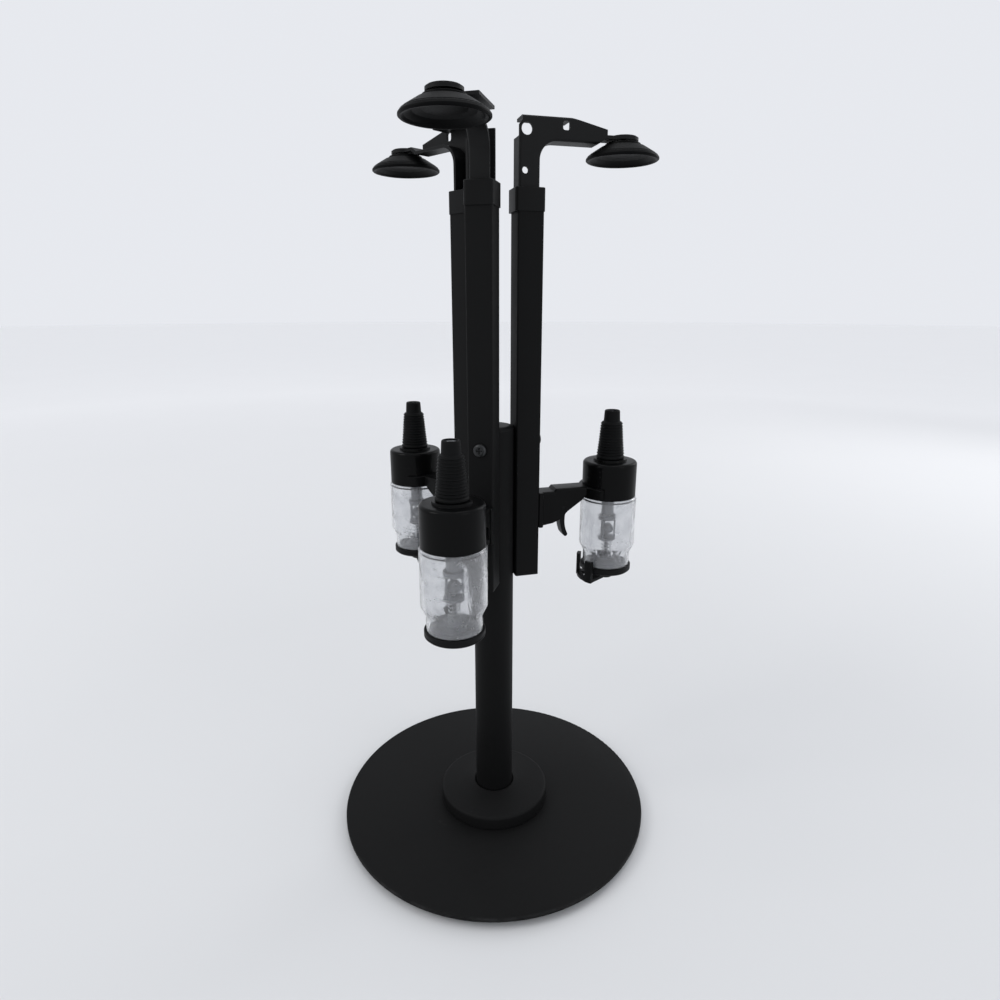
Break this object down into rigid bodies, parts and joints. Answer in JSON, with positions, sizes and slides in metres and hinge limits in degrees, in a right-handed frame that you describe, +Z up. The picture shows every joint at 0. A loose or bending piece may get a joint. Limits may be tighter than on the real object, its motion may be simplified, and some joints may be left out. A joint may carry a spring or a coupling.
{
  "type": "rotary bottle dispenser",
  "caption": "Rotary bar dispenser on a disc base: a turning column carries upturned bottles between corks and sprung rubber cups, with clear push-up measures below.",
  "frame": {"origin": "centre of the underside of the base pad", "axes": "+Z up along the column; station a faces -Y, stations b and c follow at 120 degree steps"},
  "size_m": [0.28, 0.28, 0.5945],
  "materials": {
    "pad_rubber": "matt, fine texture",
    "base_paint": "matt black powder coat, fine texture",
    "column_paint": "satin black paint",
    "arm_paint": "satin black paint on pressed steel",
    "black_plastic": "satin black moulded plastic",
    "bracket_plastic": "satin black moulded plastic",
    "cap_plastic": "semi-gloss black moulded plastic",
    "cork_rubber": "matt black rubber",
    "cup_rubber": "satin black rubber",
    "seal_rubber": "matt black rubber",
    "clear_plastic": "clear moulded plastic",
    "inner_plastic": "pale grey moulded plastic",
    "bearing_plastic": "dark grey bearing plastic",
    "screw_black": "black zinc plate",
    "steel": "bright drawn steel"
  },
  "bodies": {
    "base": {"base_pad": "pad_rubber", "base_plate": "base_paint", "foot_flange": "base_paint", "flange_screws": "steel", "spindle": "steel", "spindle_bolt": "steel", "thrust_washer": "bearing_plastic", "retaining_screw": "steel"},
    "column": {"pole": "column_paint", "pole_bushes": "bearing_plastic", "pole_cap": "black_plastic", "stop_screws": "screw_black", "bracket_screws": "screw_black", "rail_plugs": "black_plastic", "rail_guides": "black_plastic", "inlet_tubes": "inner_plastic", "cap_gaskets": "seal_rubber", "valve_seats": "black_plastic", "rail_a": "column_paint", "bracket_a": "bracket_plastic", "measure_cap_a": "cap_plastic", "cork_a": "cork_rubber", "chamber_a": "clear_plastic", "rail_b": "column_paint", "bracket_b": "bracket_plastic", "measure_cap_b": "cap_plastic", "cork_b": "cork_rubber", "chamber_b": "clear_plastic", "rail_c": "column_paint", "bracket_c": "bracket_plastic", "measure_cap_c": "cap_plastic", "cork_c": "cork_rubber", "chamber_c": "clear_plastic"},
    "arm_a": {"bottle_arm_a": "arm_paint", "slider_a": "bearing_plastic", "lift_spring_a": "steel", "ball_stud_a": "black_plastic"},
    "bottle_cup_a": {"cup_a": "cup_rubber"},
    "valve_a": {"valve_stem_a": "inner_plastic", "pusher_a": "black_plastic", "return_spring_a": "steel"},
    "trigger_a": {"release_trigger_a": "black_plastic"},
    "arm_b": {"bottle_arm_b": "arm_paint", "slider_b": "bearing_plastic", "lift_spring_b": "steel", "ball_stud_b": "black_plastic"},
    "bottle_cup_b": {"cup_b": "cup_rubber"},
    "valve_b": {"valve_stem_b": "inner_plastic", "pusher_b": "black_plastic", "return_spring_b": "steel"},
    "trigger_b": {"release_trigger_b": "black_plastic"},
    "arm_c": {"bottle_arm_c": "arm_paint", "slider_c": "bearing_plastic", "lift_spring_c": "steel", "ball_stud_c": "black_plastic"},
    "bottle_cup_c": {"cup_c": "cup_rubber"},
    "valve_c": {"valve_stem_c": "inner_plastic", "pusher_c": "black_plastic", "return_spring_c": "steel"},
    "trigger_c": {"release_trigger_c": "black_plastic"}
  },
  "joints": [
    {"name": "column_spin", "type": "hinge", "parent": "base", "child": "column", "pos_m": [0, 0, 0.015], "axis": [0, 0, 1], "continuous": true},
    {"name": "arm_slide_a", "type": "slide", "parent": "column", "child": "arm_a", "axis": [0, 0, 1], "range_m": [0, 0.09], "stiffness_N_per_m": 80, "springref_m": -0.1, "deforming": ["lift_spring_a"]},
    {"name": "cup_tilt_a", "type": "hinge", "parent": "arm_a", "child": "bottle_cup_a", "pos_m": [0, -0.103, 0.5772], "axis": [1, 0, 0], "range_deg": [-6, 6]},
    {"name": "valve_push_a", "type": "slide", "parent": "column", "child": "valve_a", "axis": [0, 0, 1], "range_m": [0, 0.004], "stiffness_N_per_m": 300, "springref_m": -0.012, "deforming": ["return_spring_a"]},
    {"name": "trigger_pull_a", "type": "hinge", "parent": "column", "child": "trigger_a", "pos_m": [0, -0.06, 0.296], "axis": [1, 0, 0], "range_deg": [0, 12], "stiffness_Nm_per_rad": 0.05, "springref_deg": -11.46},
    {"name": "arm_slide_b", "type": "slide", "parent": "column", "child": "arm_b", "axis": [0, 0, 1], "range_m": [0, 0.09], "stiffness_N_per_m": 80, "springref_m": -0.1, "deforming": ["lift_spring_b"]},
    {"name": "cup_tilt_b", "type": "hinge", "parent": "arm_b", "child": "bottle_cup_b", "pos_m": [0.0892, 0.0515, 0.5772], "axis": [-0.5, 0.866, 0], "range_deg": [-6, 6]},
    {"name": "valve_push_b", "type": "slide", "parent": "column", "child": "valve_b", "axis": [0, 0, 1], "range_m": [0, 0.004], "stiffness_N_per_m": 300, "springref_m": -0.012, "deforming": ["return_spring_b"]},
    {"name": "trigger_pull_b", "type": "hinge", "parent": "column", "child": "trigger_b", "pos_m": [0.05196, 0.03, 0.296], "axis": [-0.5, 0.866, 0], "range_deg": [0, 12], "stiffness_Nm_per_rad": 0.05, "springref_deg": -11.46},
    {"name": "arm_slide_c", "type": "slide", "parent": "column", "child": "arm_c", "axis": [0, 0, 1], "range_m": [0, 0.09], "stiffness_N_per_m": 80, "springref_m": -0.1, "deforming": ["lift_spring_c"]},
    {"name": "cup_tilt_c", "type": "hinge", "parent": "arm_c", "child": "bottle_cup_c", "pos_m": [-0.0892, 0.0515, 0.5772], "axis": [-0.5, -0.866, 0], "range_deg": [-6, 6]},
    {"name": "valve_push_c", "type": "slide", "parent": "column", "child": "valve_c", "axis": [0, 0, 1], "range_m": [0, 0.004], "stiffness_N_per_m": 300, "springref_m": -0.012, "deforming": ["return_spring_c"]},
    {"name": "trigger_pull_c", "type": "hinge", "parent": "column", "child": "trigger_c", "pos_m": [-0.05196, 0.03, 0.296], "axis": [-0.5, -0.866, 0], "range_deg": [0, 12], "stiffness_Nm_per_rad": 0.05, "springref_deg": -11.46}
  ]
}
